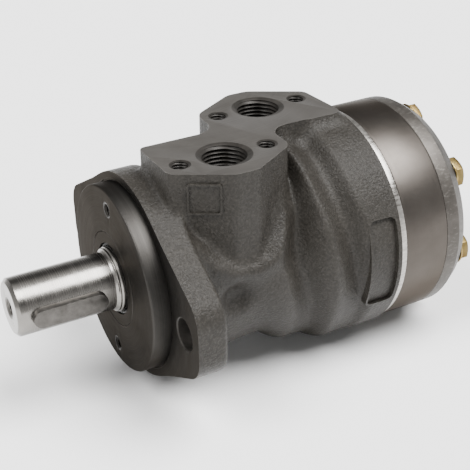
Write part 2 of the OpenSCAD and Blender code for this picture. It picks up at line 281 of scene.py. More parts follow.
def place(obj, origin=(0, 0, 0), along="x"):
    """Moves a piece that was drawn along +X so that it runs along +X, +Y, -Y or +Z from the origin."""
    turn = {
        "x": Matrix.Identity(4),
        "y": Matrix.Rotation(math.radians(90), 4, "Z"),
        "-y": Matrix.Rotation(math.radians(-90), 4, "Z"),
        "z": Matrix.Rotation(math.radians(-90), 4, "Y"),
    }[along]
    obj.data.transform(Matrix.Translation(Vector(origin) * MM) @ turn)
    return obj


def spin_x(obj, degrees):
    obj.data.transform(Matrix.Rotation(math.radians(degrees), 4, "X"))
    return obj


def drill(name, depth, radius, chamfer=0.0, pitch=0.0, thread=0.0, cone=True, segments=96):
    """A cutter that lies along -X from its mouth at x = 0. With a pitch its wall is a helical thread
    cut `thread` deep, and its bottom is a drill point."""
    over = 2.0
    rows = []
    if pitch:
        step = pitch / 8
        levels = np.arange(-depth, -chamfer * 0.5, step)
        turns = np.arange(segments) / segments
        for x in levels:
            phase = (x / pitch - turns) % 1.0
            wave = np.clip(np.abs(phase * 2 - 1) * 1.25 - 0.125, 0, 1)
            fade = np.clip((x + depth) / pitch, 0, 1)
            rows.append((x, radius - thread * (1 - wave * fade)))
    else:
        rows = [(-depth, np.full(segments, radius)), (-chamfer, np.full(segments, radius))]
    mouth = radius + chamfer
    rows.append((0.0, np.full(segments, mouth + 0.01)))
    rows.append((over, np.full(segments, mouth + over)) if chamfer else (over, np.full(segments, radius)))
    points, index = [], []
    tip = -depth - (rows[0][1].min() * 0.55 if cone else 0)
    points.append((tip, 0, 0))
    for x, radii in rows:
        index.append(len(points))
        for i, r in enumerate(radii):
            t = 2 * math.pi * i / segments
            points.append((x, r * math.cos(t), r * math.sin(t)))
    points.append((over, 0, 0))
    faces = []
    for i in range(segments):
        j = (i + 1) % segments
        faces.append([0, index[0] + j, index[0] + i])
        for a, b in zip(index, index[1:]):
            faces.append([a + i, a + j, b + j, b + i])
        faces.append([len(points) - 1, index[-1] + i, index[-1] + j])
    obj = mesh_object(name, points, faces)
    outward(obj)
    return obj


def join(name, parts):
    """One object from several, without a boolean."""
    work = bmesh.new()
    for part in parts:
        work.from_mesh(part.data)
        bpy.data.objects.remove(part)
    mesh = bpy.data.meshes.new(name)
    work.to_mesh(mesh)
    work.free()
    obj = bpy.data.objects.new(name, mesh)
    bpy.context.scene.collection.objects.link(obj)
    return obj


def apply_modifiers(obj):
    bpy.context.view_layer.update()
    done = bpy.data.meshes.new_from_object(obj.evaluated_get(bpy.context.evaluated_depsgraph_get()))
    obj.modifiers.clear()
    old = obj.data
    obj.data = done
    bpy.data.meshes.remove(old)


def combine(obj, cutters, operation="DIFFERENCE"):
    """Applies one boolean after another, and removes the cutters."""
    for cutter in cutters:
        mod = obj.modifiers.new("cut", "BOOLEAN")
        mod.operation = operation
        mod.solver = "MANIFOLD"
        mod.object = cutter
        apply_modifiers(obj)
        bpy.data.objects.remove(cutter)
    return obj


# ---------------------------------------------------------------- housing: distance field

VOXEL = 0.6
PAD = 4.0


def polygon_distance(outline, u, v):
    """Signed distance from points (u, v) to a closed outline, negative inside."""
    best = np.full(u.shape, 1e9, np.float32)
    inside = np.zeros(u.shape, bool)
    n = len(outline)
    for i in range(n):
        (ax, ay), (bx, by) = outline[i], outline[(i + 1) % n]
        ex, ey = bx - ax, by - ay
        wx, wy = u - ax, v - ay
        t = np.clip((wx * ex + wy * ey) / (ex * ex + ey * ey), 0, 1)
        best = np.minimum(best, (wx - ex * t) ** 2 + (wy - ey * t) ** 2)
        crosses = (ay > v) != (by > v)
        if by != ay:
            inside ^= crosses & (u < ex * (v - ay) / (by - ay) + ax)
    return np.where(inside, -1, 1) * np.sqrt(best)


def smooth_min(a, b, k):
    h = np.clip(0.5 + 0.5 * (b - a) / k, 0, 1)
    return b + (a - b) * h - k * h * (1 - h)


def smooth_max(a, b, k):
    return -smooth_min(-a, -b, k)


def slab(value, low, high):
    return np.maximum(low - value, value - high)


def smooth_step(t):
    t = np.clip(t, 0, 1)
    return t * t * (3 - 2 * t)


# Feature rings of the cast body, from the flange back. Each row gives one ring as (x, radius) at
# each of the angles, where 0 is a side and 90 is the top. The ridges and valleys lean back below.
RING_ANGLES = (-62.0, -28.0, 2.0, 24.0, 50.0)
RINGS = (
    ((-13.0, 43.5), (-13.0, 43.5), (-13.0, 43.0), (-13.0, 43.0), (-13.0, 43.0)),
    ((-30.0, 41.0), (-26.0, 40.2), (-22.0, 39.6), (-20.0, 40.0), (-20.0, 40.0)),
    ((-50.0, 40.2), (-42.0, 39.9), (-36.0, 39.8), (-33.0, 40.0), (-34.0, 40.0)),
    ((-61.5, 46.3), (-57.0, 44.0), (-52.5, 42.4), (-51.5, 42.0), (-57.5, 41.6)),
    ((-71.5, 46.6), (-68.0, 41.4), (-62.8, 37.0), (-62.4, 35.8), (-64.8, 36.2)),
    ((-80.5, 51.3), (-77.5, 49.2), (-75.0, 48.0), (-73.2, 48.0), (-71.8, 48.0)),
    ((-91.0, 51.4), (-89.0, 47.6), (-85.5, 44.7), (-83.0, 44.6), (-81.2, 45.0)),
    ((-95.0, 51.5), (-94.8, 51.2), (-92.5, 51.1), (-90.2, 51.0), (-88.2, 50.9)),
    ((-108.0, 51.5), (-108.0, 51.4), (-108.0, 51.4), (-108.0, 51.4), (-108.0, 51.4)),
)


# Middle line of the swelling that runs in a U round the foot of each lobe, as (x, angle)
SWELLING = (
    (-17.0, 35), (-18.5, 29), (-22.5, 22), (-30.0, 16), (-40.5, 14), (-48.0, 18), (-54.5, 27),
    (-61.5, 40), (-67.5, 52),
)
SWELLING_RISE, SWELLING_HALF = 2.7, 4.4
HOLLOW_X, HOLLOW_ANGLE, HOLLOW_R, HOLLOW_DEPTH = -31.0, -1.5, 6.6, 4.2


def swelling(x, angle):
    """Extra radius of the U-shaped swelling, less the round hollow behind each flange ear."""
    arc = math.radians(42.0)
    best = np.full(angle.shape, 1e9, np.float32)
    for (ax, at), (bx, bt) in zip(SWELLING, SWELLING[1:]):
        ex, ey = bx - ax, (bt - at) * arc
        wx, wy = x - ax, (angle - at) * arc
        t = np.clip((wx * ex + wy * ey) / (ex * ex + ey * ey), 0, 1)
        best = np.minimum(best, (wx - ex * t) ** 2 + (wy - ey * t) ** 2)
    hollow = (x - HOLLOW_X) ** 2 + ((angle - HOLLOW_ANGLE) * arc) ** 2
    raised = SWELLING_RISE * np.exp(-best / SWELLING_HALF**2)
    return raised - HOLLOW_DEPTH * np.exp(-((hollow / HOLLOW_R**2) ** 1.5))


def curve_through(at, xs, ys):
    """Smooth curve through the points (xs, ys), level beyond its two ends."""
    xs, ys = np.asarray(xs, float), np.asarray(ys, float)
    slope = np.zeros(len(xs))
    slope[1:-1] = (ys[2:] - ys[:-2]) / (xs[2:] - xs[:-2])
    at = np.clip(at, xs[0], xs[-1])
    k = np.clip(np.searchsorted(xs, at) - 1, 0, len(xs) - 2)
    width = xs[k + 1] - xs[k]
    t = (at - xs[k]) / width
    rise = (2 * t**3 - 3 * t**2 + 1) * ys[k] + (t**3 - 2 * t**2 + t) * width * slope[k]
    return rise + (-2 * t**3 + 3 * t**2) * ys[k + 1] + (t**3 - t**2) * width * slope[k + 1]


def body_rings(angle):
    """The x and the radius of each ring at angles in degrees."""
    return [
        (curve_through(angle, RING_ANGLES, [k[0] for k in ring]).astype(np.float32),
         curve_through(angle, RING_ANGLES, [k[1] for k in ring]).astype(np.float32))
        for ring in RINGS
    ]


def body_radius(x, rings):
    """Radius of the cast body at one x, with the rings already found for each angle."""
    radius = np.where(x > rings[0][0], rings[0][1], rings[-1][1])
    for (x_near, r_near), (x_far, r_far) in zip(rings, rings[1:]):
        t = smooth_step((x_near - x) / (x_near - x_far))
        radius = np.where((x <= x_near) & (x > x_far), r_near + (r_far - r_near) * t, radius)
    return radius.astype(np.float32)


def flange_outline():
    slope = math.radians(30)
    apex = FLANGE_R / math.cos(slope)
    corner = apex - FLANGE_HALF * math.tan(slope)
    raw = [(FLANGE_HALF, corner), (0, apex), (-FLANGE_HALF, corner),
           (-FLANGE_HALF, -corner), (0, -apex), (FLANGE_HALF, -corner)]
    return soften(raw, [14, FLANGE_R, 14, 14, FLANGE_R, 14], steps=12)


def port_outline():
    """The two staggered lobes of the port face, seen from above, as (x, y)."""
    half, tip, shoulder, step = 28.0, 38.0, 24.0, 4.8
    a, b = PORT_A[0], PORT_B[0]
    raw = [(a + half, -step), (a + half, shoulder), (a + 5, tip), (a - 5, tip),
           (a - half, shoulder), (a - half, step), (b - half, step), (b - half, -shoulder),
           (b - 5, -tip), (b + 5, -tip), (b + half, -shoulder), (b + half, -step)]
    return soften(raw, [3, 5, 8, 8, 9, 9, 3, 5, 8, 8, 9, 9], steps=8)


def field_axis(low, high):
    return np.arange(low, high + VOXEL, VOXEL, dtype=np.float32)


def cast_body():
    """The as-cast body: flange, body of feature rings and port block, blended together."""
    xs = field_axis(HOUSING_REAR - PAD, 3.0)
    ys = field_axis(-FLANGE_HALF - PAD, FLANGE_HALF + PAD)
    zs = field_axis(-52.0 - PAD, PORT_TOP + PAD)
    y2, z2 = np.meshgrid(ys, zs, indexing="ij")
    flange_2d = polygon_distance(flange_outline(), y2, z2).astype(np.float32)
    radius_2d = np.hypot(y2, z2)
    angle_2d = np.degrees(np.arctan2(z2, np.abs(y2)))
    x2, yy2 = np.meshgrid(xs, ys, indexing="ij")
    block_2d = polygon_distance(port_outline(), x2, yy2).astype(np.float32)
    field = np.empty((len(xs), len(ys), len(zs)), np.float32)
    top = PORT_TOP + 2.0
    rings = body_rings(angle_2d)
    for i, x in enumerate(xs):
        body = (radius_2d - body_radius(x, rings) - swelling(x, angle_2d)) * 0.9
        body = np.maximum(body, slab(x, HOUSING_REAR - 2.0, -1.0))
        draft = (PORT_TOP - z2) * 0.01
        walls = block_2d[i][:, None] - draft
        block = smooth_max(walls, np.maximum(z2 - top, 8.0 - z2), 1.0)
        shape = smooth_min(body, block, 1.8 + 6.0 * smooth_step((-46.0 - x) / 14.0))
        flange = smooth_max(flange_2d, slab(x, -FLANGE_THICK, 2.0) * np.ones_like(flange_2d), 2.0)
        shape = smooth_min(shape, flange, 4.5)
        # Round pad for the drain plug, on the -Y side
        pad_side = np.hypot(z2, x - DRAIN_X) - DRAIN_PAD_R
        pad = smooth_max(pad_side, np.maximum(DRAIN_FACE - y2, y2 + 40.0), 1.5)
        field[i] = smooth_min(shape, pad, 3.0)
    grid = openvdb.FloatGrid(background=VOXEL * 3)
    grid.copyFromArray(np.ascontiguousarray(field))
    points, quads = grid.convertToQuads(isovalue=0.0)
    points = np.asarray(points, float) * VOXEL + np.array([xs[0], ys[0], zs[0]], float)
    obj = mesh_object("housing_cast", points, np.asarray(quads, int).tolist())
    outward(obj)
    return obj


FAR = 90.0
FRAME_AT = (-21.5, 31.6, 44.2)     # middle of the blank frame, on the near flank of port A's lobe


def box_frame(height, width, rim, corner, rise):
    """A raised rounded frame, drawn in the XY plane and standing on z = 0."""
    half_x, half_y = width / 2, height / 2
    outer = [(half_x, half_y), (-half_x, half_y), (-half_x, -half_y), (half_x, -half_y)]
    inner = [(u - math.copysign(rim, u), v - math.copysign(rim, v)) for u, v in outer]
    frame_piece = prism("frame_out", soften(outer, [corner] * 4), -0.6, rise, 2)
    hole = prism("frame_in", soften(inner, [corner * 0.6] * 4), -2, rise + 2, 2)
    return combine(frame_piece, [hole])


def curved_panel(x_low, x_high, z_low, z_high, r_low, r_high, corner):
    """A plate with rounded corners that follows the drum on the +Y side, for the blank panel."""
    mid, half = (x_low + x_high) / 2, (x_high - x_low) / 2
    outline = [(mid + half, z_high), (mid - half, z_high), (mid - half, z_low), (mid + half, z_low)]
    outline = soften(outline, [corner] * 4, steps=6)
    block = prism("panel", outline, r_low - 14, r_high + 5, 1)
    ends = (x_low - 5, x_high + 5)
    wall = [(ends[0], r_low), (ends[0], r_high), (ends[1], r_high), (ends[1], r_low)]
    shell = lathe("panel_shell", wall, segments=256)
    return combine(block, [shell], "INTERSECT")


def finish_index(objects, index):
    for obj in objects:
        obj.data.polygons.foreach_set("material_index", np.full(len(obj.data.polygons), index, np.int32))
    return objects


def make_housing():
    body = cast_body()
    frame_piece = box_frame(13.4, 14.0, 0.8, 1.2, 0.7)
    along, facing = Vector((-23.0, 14.0, 0)).normalized(), Vector((14.0, 23.0, 0)).normalized()
    turn = Matrix((along, Vector((0, 0, 1)), facing)).transposed().to_4x4()
    frame_piece.data.transform(Matrix.Translation(Vector(FRAME_AT) * MM) @ turn)
    outward(frame_piece)
    combine(body, [frame_piece], "UNION")
    panel_rim = curved_panel(-104.9, -90.0, -20.4, 22.3, DRUM_R - 4, DRUM_R + 0.55, 3.6)
    panel = curved_panel(-104.1, -90.9, -19.6, 21.5, DRUM_R - 0.9, DRUM_R + 5, 2.8)
    combine(body, [panel_rim], "UNION")
    combine(body, [panel])
    front = box("cut_front", (0.0, -FAR, -FAR), (20, FAR, FAR))
    rear = box("cut_rear", (HOUSING_REAR - 20, -FAR, -FAR), (HOUSING_REAR, FAR, FAR))
    top = box("cut_top", (-200, -FAR, PORT_TOP), (50, FAR, PORT_TOP + 20))
    finish_index([front, rear], 1)
    finish_index([top], 2)
    combine(body, [front, rear, top])
    pilot = lathe("pilot", rod(-2, PILOT_FRONT, PILOT_R), [0, 0, 0.9, 0], segments=256)
    finish_index([pilot], 1)
    combine(body, [pilot], "UNION")
    rim = PILOT_R + 0.9
    undercut = lathe("undercut", [(-0.5, PILOT_R), (0.4, PILOT_R), (0.4, rim), (-0.5, rim)], segments=256)
    wall = CARRIER_R + 0.02
    mouth = CARRIER_R + 0.45
    bore = lathe("bore", [(-15.5, 0), (-15.5, wall), (PILOT_FRONT - 0.35, wall), (PILOT_FRONT + 0.1, mouth),
                          (PILOT_FRONT + 2, mouth), (PILOT_FRONT + 2, 0)], segments=192)
    spool = lathe("spool_bore", rod(HOUSING_REAR - 2, -15, SPOOL_BORE_R))
    finish_index([undercut, bore, spool], 1)
    combine(body, [undercut, bore, spool])
    holes = []
    for side in (-1, 1):
        holes.append(place(drill("bolt", 30, BOLT_R, 0.5), (0, side * BOLT_Y, 0)))
        hole = drill("pilot_hole", 12, 3.0, 0.45, pitch=1.0, thread=0.5)
        holes.append(place(hole, (PILOT_FRONT, 0, side * PILOT_HOLE_Z)))
    for port in (PORT_A, PORT_B):
        hole = drill("port", 15, PORT_R, 1.3, pitch=1.814, thread=1.15, cone=False, segments=144)
        holes.append(place(hole, (port[0], port[1], PORT_TOP), "z"))
        for side in (-1, 1):
            screw = drill("port_screw", 13, 4.0, 0.5, pitch=1.25, thread=0.65)
            holes.append(place(screw, (port[0] + side * PORT_SCREW_X, port[1], PORT_TOP), "z"))
    for k in range(SCREW_COUNT):
        hole = place(drill("screw_hole", 18, SCREW_HOLE_R, 0), (0, SCREW_CIRCLE, 0))
        spin_x(hole, SCREW_START + k * SCREW_STEP)
        to_rear = Matrix.Translation((HOUSING_REAR * MM, 0, 0)) @ Matrix.Scale(-1, 4, (1, 0, 0))
        hole.data.transform(to_rear)
        outward(hole)
        holes.append(hole)
    drain = drill("drain", 11.5, DRAIN_R, 0.6, pitch=1.337, thread=0.7)
    holes.append(place(drain, (DRAIN_X, DRAIN_FACE, 0), "-y"))
    joined = join("holes", holes)
    finish_index([joined], 3)
    combine(body, [joined])
    passages = []
    for port in (PORT_A, PORT_B):
        passages.append(place(drill("passage", 18, 8.6), (port[0], port[1], PORT_TOP - 12), "z"))
    joined = join("passages", passages)
    finish_index([joined], 3)
    combine(body, [joined])
    shade(body, 32)
    return body


# ---------------------------------------------------------------- rotating pieces and the rear stack

def slot_block(length, width, low, high):
    """A block with round ends along X, from y = low to y = high, centred on x = 0."""
    half = (length - width) / 2
    turns = [math.pi * i / 16 for i in range(17)]
    outline = [(half + width / 2 * math.sin(t), width / 2 * math.cos(t)) for t in turns]
    outline += [(-half - width / 2 * math.sin(t), -width / 2 * math.cos(t)) for t in turns]
    return prism("slot", outline, low, high, 1)


def spline_hole(r_low, r_high, half_low, half_high):
    """Outline of an internal spline, as (y, z), from its radii and half angles."""
    out, teeth = [], 12
    for k in range(teeth):
        for r, shift in ((r_low, -half_low), (r_high, -half_high), (r_high, half_high), (r_low, half_low)):
            t = math.radians(k * 360 / teeth + shift)
            out.append((r * math.cos(t), r * math.sin(t)))
    return out


def make_shaft():
    r_key, rear = 12.5, -100.0
    outline = [
        (rear, 0), (rear, 17.0), (rear + 0.5, 17.5), (-79.7, 17.5), (-79.7, 15.6), (-68.7, 15.6),
        (-68.7, 17.5), (-43.1, 17.5), (-43.1, 15.6), (-32.1, 15.6), (-32.1, 17.5), (-15.5, 17.5),
        (-15.0, 17.0),
        (-15.0, 14.25), (8.7, 14.25), (9.2, 13.75), (9.9, 13.75), (10.3, 13.2), (11.2, r_key),
        (SHAFT_END - 1.5, r_key), (SHAFT_END, r_key - 1.5), (SHAFT_END, 0),
    ]
    radii = [0] * 14 + [0.15, 0.15, 0.15, 0.2, 0.3, 0.2, 0.2, 0]
    shaft = lathe("output_shaft_turned", outline, radii, segments=192, angle=28)
    keyway = slot_block(32.1, 8.06, 8.5, 20.0)
    keyway.data.transform(Matrix.Translation((KEY_MID * MM, 0, 0)))
    end = place(drill("thread", 18, 4.0, 0.7, pitch=1.25, thread=0.65), (SHAFT_END, 0, 0))
    bore = lathe("cardan_bore", rod(rear - 2, -70, CARDAN_BORE_R))
    finish_index([keyway, end, bore], 1)
    slots = []
    for k in range(12):
        low, high = (-61.9, -37.6) if k % 2 == 0 else (-74.2, -53.9)
        slots.append(spin_x(box("feed_slot", (low, -1.5, 15.6), (high, 1.5, 18.6)), k * 30 - 90))
    splines = prism("splines", spline_hole(10.8, 12.5, 9.3, 6.6), -71, -54, 0)
    combine(shaft, [keyway, end, bore, join("feed_slots", slots), splines])
    shade(shaft, 28)
    return shaft


def make_key():
    """Parallel key with small chamfers round its top edges."""
    key = slot_block(32.0, 8.0, 8.5, 15.5)
    key.data.transform(Matrix.Translation((KEY_MID * MM, 0, 0)))
    bevel(key, 0.35, 2)
    return key


def bevel(obj, width, segments=2, angle=40):
    """Rounds the edges sharper than the angle, and applies it."""
    mod = obj.modifiers.new("round", "BEVEL")
    mod.width = width * MM
    mod.segments = segments
    mod.limit_method = "ANGLE"
    mod.angle_limit = math.radians(angle)
    mod.use_clamp_overlap = True
    apply_modifiers(obj)
    shade(obj, 30)


def make_carrier():
    """Seal carrier with an O-ring groove outside and the shaft seal's pocket inside."""
    front = span("seal_carrier", 0)[1]
    rear = span("seal_carrier", 0)[0]
    outline = [
        (rear, 14.85), (rear, CARRIER_R), (-5.5, CARRIER_R), (-5.5, 19.2), (-3.0, 19.2), (-3.0, CARRIER_R),
        (front, CARRIER_R), (front, 15.8), (2.4, 15.8), (2.4, 14.85), (0.4, 14.85), (0.4, 18.5),
        (-7.2, 18.5), (-7.2, 14.85),
    ]
    radii = [0, 0.2, 0.1, 0, 0, 0.1, 0.3, 0.35, 0, 0.2, 0, 0, 0, 0]
    return lathe("seal_carrier_ring", outline, radii, segments=192)


def make_dust_seal():
    outline = [(6.2, 14.3), (2.6, 14.75), (2.6, 15.78), (6.9, 15.78), (7.1, 15.3), (6.9, 14.95)]
    return lathe("dust_seal_lip", outline, [0.1, 0.1, 0.1, 0.2, 0.1, 0.2], segments=160)


def disc(name, outline, radii):
    return lathe(name, outline, radii, segments=256, angle=30)


def around(drawn, radius, first, step, count):
    """Copies of a piece moved out to a radius and spread round the shaft axis."""
    pieces = []
    for k in range(count):
        copy = bpy.data.objects.new(drawn.name, drawn.data.copy())
        bpy.context.scene.collection.objects.link(copy)
        copy.data.transform(Matrix.Translation((0, radius * MM, 0)))
        pieces.append(spin_x(copy, first + k * step))
    bpy.data.objects.remove(drawn)
    return join("set", pieces)


def screw_holes(low, high):
    return around(prism("hole", circle(0, 0, 4.4, 40), low, high, 0), SCREW_CIRCLE, SCREW_START, SCREW_STEP,
                  SCREW_COUNT)


def make_plate():
    front = HOUSING_REAR
    plate = disc("channel_plate_ground", rod(PLATE_REAR, front, DRUM_R), [0, 0.25, 0.25, 0])
    bore = prism("bore", circle(0, 0, CARDAN_BORE_R, 96), PLATE_REAR - 1, front + 1, 0)
    slots = slot_x(7.5, 2.6, PLATE_REAR - 1, front + 1)
    windows = around(slots, 26.25, SCREW_START, SCREW_STEP, SCREW_COUNT)
    combine(plate, [bore, screw_holes(PLATE_REAR - 1, front + 1), windows])
    shade(plate, 30)
    return plate


def slot_x(length, radius, low, high):
    """A slot through a plate: round ends, lying along Y."""
    turns = [math.pi * i / 14 for i in range(15)]
    outline = [(length / 2 + radius * math.sin(t), radius * math.cos(t)) for t in turns]
    outline += [(-length / 2 - radius * math.sin(t), -radius * math.cos(t)) for t in turns]
    return prism("slot", outline, low, high, 0)


def make_ring():
    ring = disc("gear_ring_turned", rod(RING_REAR, PLATE_REAR, DRUM_R), [0, 0.45, 0.45, 0])
    low, high = RING_REAR - 1, PLATE_REAR + 1
    bore = prism("bore", circle(0, 0, 32.6, 128), low, high, 0)
    pocket = prism("pocket", circle(0, 0, 7.04, 64), low, high, 0)
    pockets = around(pocket, 34.0, -90, SCREW_STEP, SCREW_COUNT)
    combine(ring, [bore, pockets, screw_holes(low, high)])
    shade(ring, 30)
    return ring


def make_cover():
    """End cover: a rough rim, a turned chamfer and a faced back with a shallow centre mark."""
    x0, x1 = COVER_REAR, RING_REAR
    outline = [
        (x0, 0), (x0, DRUM_R - 3.6), (x0 + 0.6, DRUM_R - 3.0), (x0 + 5.5, DRUM_R), (x1, DRUM_R), (x1, 0),
    ]
    cover = disc("end_cover_turned", outline, [0, 0.6, 0.6, 0.5, 0.4, 0])
    centre = lathe("centre", [(x0 - 1, 0), (x0 - 1, 2.6), (x0, 2.0), (x0 + 2.2, 0)], segments=48)
    step = lathe("step", rod(x0 - 1, x0 + 0.35, 21.0), [0, 0, 0.3, 0])
    combine(cover, [step, centre, screw_holes(x0 - 1, x1 + 1)])
    shade(cover, 30)
    return cover


def hex_head(name, across_flats, turned_r, low, high):
    """Hexagon with its outer corners turned off to a chamfer. The chamfer faces -X."""
    corner = across_flats / math.sqrt(3)
    head = prism(name, circle(0, 0, corner, 6), low, high, 0)
    slope = math.tan(math.radians(30))
    drop = (corner + 1 - turned_r) * slope
    cone = lathe("cone", [(low, 0), (low, turned_r), (low + drop, corner + 1), (high + 1, corner + 1),
                          (high + 1, 0)], segments=96)
    return combine(head, [cone], "INTERSECT")


def make_screws():
    """Seven hexagon screws: chamfered head with a washer face and a shallow dish, and a shank."""
    washer_face, back = WASHER_REAR, SCREW_REAR
    drawn = []
    for k in range(SCREW_COUNT):
        head = hex_head("head", 13.0, 6.1, back, washer_face - 0.3)
        dish = lathe("dish", [(back - 1, 0), (back - 1, 4.6), (back, 4.3), (back + 0.45, 3.7),
                              (back + 0.45, 0)], segments=64)
        combine(head, [dish])
        bevel(head, 0.22, 2, 25)
        face = lathe("face", rod(washer_face - 0.5, washer_face, 6.1), [0, 0.15, 0.1, 0], segments=64)
        shank = lathe("shank", [(washer_face - 0.6, 0), (washer_face - 0.6, 4.0), (-90.5, 4.0), (-90.0, 3.5),
                                (-90.0, 0)], segments=48)
        screw = join("screw", [head, face, shank])
        turn = 32 - (SCREW_START + k * SCREW_STEP) + RNG.uniform(-6, 6)
        screw.data.transform(Matrix.Rotation(math.radians(turn), 4, "X"))
        screw.data.transform(Matrix.Translation((0, SCREW_CIRCLE * MM, 0)))
        drawn.append(spin_x(screw, SCREW_START + k * SCREW_STEP))
    screws = join("cover_screw_set", drawn)
    shade(screws, 30)
    return screws


def make_washers():
    x0, x1 = WASHER_REAR, COVER_REAR
    section = [(x0, 4.4), (x0, 7.8), (x1, 7.8), (x1, 4.4)]
    washer = lathe("washer", section, [0.2, 0.35, 0.1, 0.1], segments=72)
    washers = around(washer, SCREW_CIRCLE, SCREW_START, SCREW_STEP, SCREW_COUNT)
    washers.name = "washer_set"
    shade(washers, 30)
    return washers


def make_drain_plug():
    """Plug with a round head, a hexagon socket and a plain body. Drawn along -X, facing +X."""
    head_r, head_h, gap = 9.5, 3.5, 1.5
    outline = [(-11.5, 0), (-11.5, DRAIN_R - 1.0), (-10.8, DRAIN_R - 0.15), (0, DRAIN_R - 0.15),
               (0, head_r), (head_h, head_r), (head_h, 0)]
    plug = lathe("drain_plug_head", outline, [0, 0.2, 0.2, 0, 0.2, 0.7, 0], segments=96)
    socket = prism("socket", circle(0, 0, 6.0 / math.sqrt(3), 6), -2.5, head_h + 1, 0)
    mouth = lathe("mouth", [(head_h - 0.45, 0), (head_h - 0.45, 3.0), (head_h + 1, 4.6), (head_h + 1, 0)],
                  segments=48)
    combine(plug, [socket, mouth])
    shade(plug, 30)
    place(plug, (DRAIN_X, DRAIN_FACE - gap, 0), "-y")
    return plug


# ---------------------------------------------------------------- materials

class Look:
    """A node material built round one Principled shader. Its methods return sockets."""

    def __init__(self, name, metallic=0.0, specular=0.5):
        self.material = bpy.data.materials.new(name)
        self.material.use_nodes = True
        self.tree = self.material.node_tree
        self.shader = self.tree.nodes["Principled BSDF"]
        self.shader.inputs["Metallic"].default_value = metallic
        self.shader.inputs["Specular IOR Level"].default_value = specular
        self.point = self.add("ShaderNodeTexCoord").outputs["Object"]
        split = self.add("ShaderNodeSeparateXYZ")
        self.tree.links.new(self.point, split.inputs[0])
        self.x, self.y, self.z = split.outputs

    def add(self, kind, **settings):
        node = self.tree.nodes.new(kind)
        for key, value in settings.items():
            setattr(node, key, value)
        return node

    def feed(self, socket, value):
        if isinstance(value, bpy.types.NodeSocket):
            self.tree.links.new(value, socket)
        elif isinstance(value, tuple) and len(value) == 3 and socket.type == "RGBA":
            socket.default_value = (*value, 1)
        else:
            socket.default_value = value

    def calc(self, operation, a, b=0.0, clamp=False):
        node = self.add("ShaderNodeMath", operation=operation, use_clamp=clamp)
        self.feed(node.inputs[0], a)
        self.feed(node.inputs[1], b)
        return node.outputs[0]

    def fit(self, value, low, high, to_low=0.0, to_high=1.0):
        node = self.add("ShaderNodeMapRange")
        for socket, item in zip(node.inputs, (value, low, high, to_low, to_high)):
            self.feed(socket, item)
        return node.outputs[0]

    def noise(self, size_mm, detail=3.0, rough=0.55, stretch=(1, 1, 1)):
        """Noise whose largest features are about size_mm across."""
        scale = self.add("ShaderNodeMapping")
        self.feed(scale.inputs[0], self.point)
        scale.inputs["Scale"].default_value = tuple(1000 / size_mm / s for s in stretch)
        node = self.add("ShaderNodeTexNoise")
        node.inputs["Scale"].default_value = 1.0
        node.inputs["Detail"].default_value = detail
        node.inputs["Roughness"].default_value = rough
        self.tree.links.new(scale.outputs[0], node.inputs["Vector"])
        return node.outputs["Fac"]

    def lines(self, value, size_mm, detail=2.0):
        """Uneven parallel lines where value, in metres, grows."""
        node = self.add("ShaderNodeTexNoise", noise_dimensions="1D")
        self.feed(node.inputs["W"], self.calc("MULTIPLY", value, 1000 / size_mm))
        node.inputs["Scale"].default_value = 1.0
        node.inputs["Detail"].default_value = detail
        return node.outputs["Fac"]

    def radius(self):
        return self.calc("SQRT", self.calc("ADD", self.calc("MULTIPLY", self.y, self.y),
                                           self.calc("MULTIPLY", self.z, self.z)))

    def turned(self, size_mm, detail=2.0):
        """Turning marks: rings on a face, and bands along a cylinder."""
        return self.lines(self.calc("ADD", self.radius(), self.x), size_mm, detail)

    def blend(self, fac, a, b):
        node = self.add("ShaderNodeMix", data_type="RGBA")
        self.feed(node.inputs[0], fac)
        self.feed(node.inputs[6], a)
        self.feed(node.inputs[7], b)
        return node.outputs[2]

    def between(self, noise, a, b):
        """Colour a to colour b over the middle of a noise."""
        return self.blend(self.fit(noise, 0.3, 0.7), a, b)

    def spread(self, noise, low, high):
        """Number low to number high over the middle of a noise."""
        return self.fit(noise, 0.3, 0.7, low, high)

    def edge(self, width_mm):
        """1 along convex and concave edges, and 0 elsewhere."""
        node = self.add("ShaderNodeBevel", samples=4)
        node.inputs["Radius"].default_value = width_mm * MM
        flat = self.add("ShaderNodeNewGeometry").outputs["Normal"]
        dot = self.add("ShaderNodeVectorMath", operation="DOT_PRODUCT")
        self.tree.links.new(node.outputs[0], dot.inputs[0])
        self.tree.links.new(flat, dot.inputs[1])
        return self.fit(dot.outputs["Value"], 0.98, 0.75)

    def worn(self, width_mm, patch_mm, low):
        """Edges, broken up into patches."""
        patches = self.fit(self.noise(patch_mm, 3), low, 0.6)
        return self.calc("MULTIPLY", self.edge(width_mm), patches, clamp=True)

    def bump(self, height, depth_mm, strength=1.0, after=None):
        node = self.add("ShaderNodeBump")
        node.inputs["Strength"].default_value = strength
        node.inputs["Distance"].default_value = depth_mm * MM
        self.feed(node.inputs["Height"], height)
        if after is not None:
            self.tree.links.new(after, node.inputs["Normal"])
        return node.outputs[0]

    def finish(self, colour, roughness, normal=None):
        self.feed(self.shader.inputs["Base Color"], colour)
        self.feed(self.shader.inputs["Roughness"], roughness)
        if normal is not None:
            self.tree.links.new(normal, self.shader.inputs["Normal"])
        return self.material


